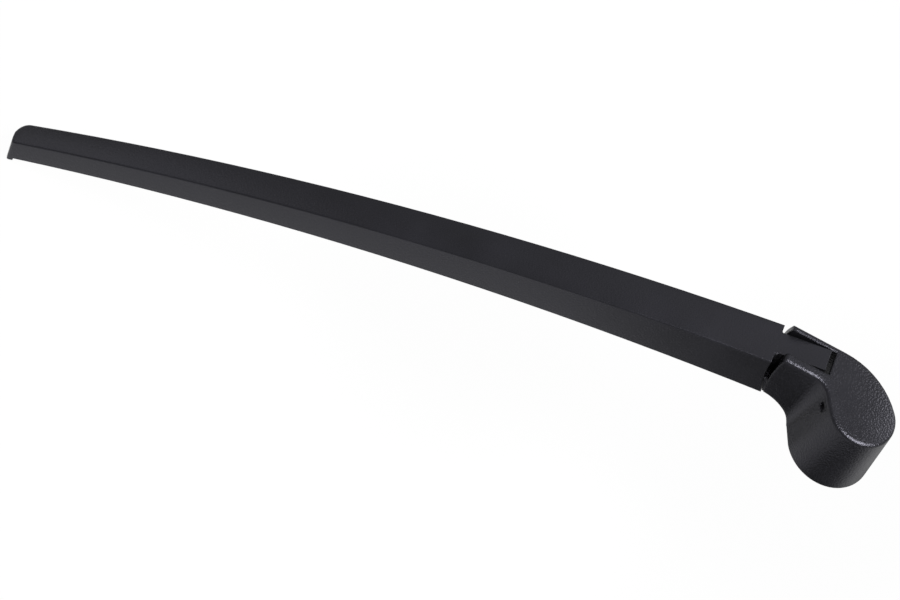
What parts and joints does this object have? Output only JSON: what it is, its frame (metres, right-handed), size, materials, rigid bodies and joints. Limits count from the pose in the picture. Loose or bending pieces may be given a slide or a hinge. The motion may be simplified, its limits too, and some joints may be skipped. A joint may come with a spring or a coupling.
{
  "type": "rear window wiper arm",
  "caption": "Moulded channel wiper arm, hinged on a covered spindle head, with a tension spring inside and a blade pin at the tip.",
  "frame": {"origin": "on the spindle axis, at the glass side of the head", "axes": "+Z leaves the glass along the spindle, the arm runs to -X, and the near side of the picture is -Y"},
  "size_m": [0.38, 0.0448, 0.1456],
  "materials": {
    "arm_plastic": "fine-grained moulding, black",
    "cover_plastic": "leather-grained moulding, black",
    "hub_casting": "die-cast, dark coating",
    "pin_steel": "zinc-plated, satin",
    "link_steel": "stamped, yellow-passivated",
    "spring_steel": "oiled spring wire, dark",
    "bush_plastic": "natural acetal, satin"
  },
  "bodies": {
    "head": {"head_hub": "hub_casting", "hinge_bush_near": "bush_plastic", "hinge_bush_far": "bush_plastic", "anchor_pin": "pin_steel"},
    "arm": {"arm_channel": "arm_plastic", "hinge_pin": "pin_steel", "spring_pin": "pin_steel", "blade_pin": "pin_steel"},
    "cover": {"head_cover": "cover_plastic"},
    "link": {"spring_link": "link_steel", "tension_spring": "spring_steel"}
  },
  "joints": [
    {"name": "arm_hinge", "type": "hinge", "parent": "head", "child": "arm", "pos_m": [-0.028, 0.0146, 0.0249], "axis": [0, 1, 0], "range_deg": [0, 65]},
    {"name": "cover_tilt", "type": "hinge", "parent": "head", "child": "cover", "pos_m": [-0.028, 0.0146, 0.0249], "axis": [0, -1, 0], "range_deg": [0, 20]},
    {"name": "link_swing", "type": "hinge", "parent": "head", "child": "link", "pos_m": [-0.022, 0.0146, 0.0184], "axis": [0, 1, 0], "range_deg": [0, 60.5], "deforming": ["tension_spring"]}
  ],
  "couplings": [
    {"joint": "link_swing", "follows": "arm_hinge", "ratio": 0.923}
  ]
}
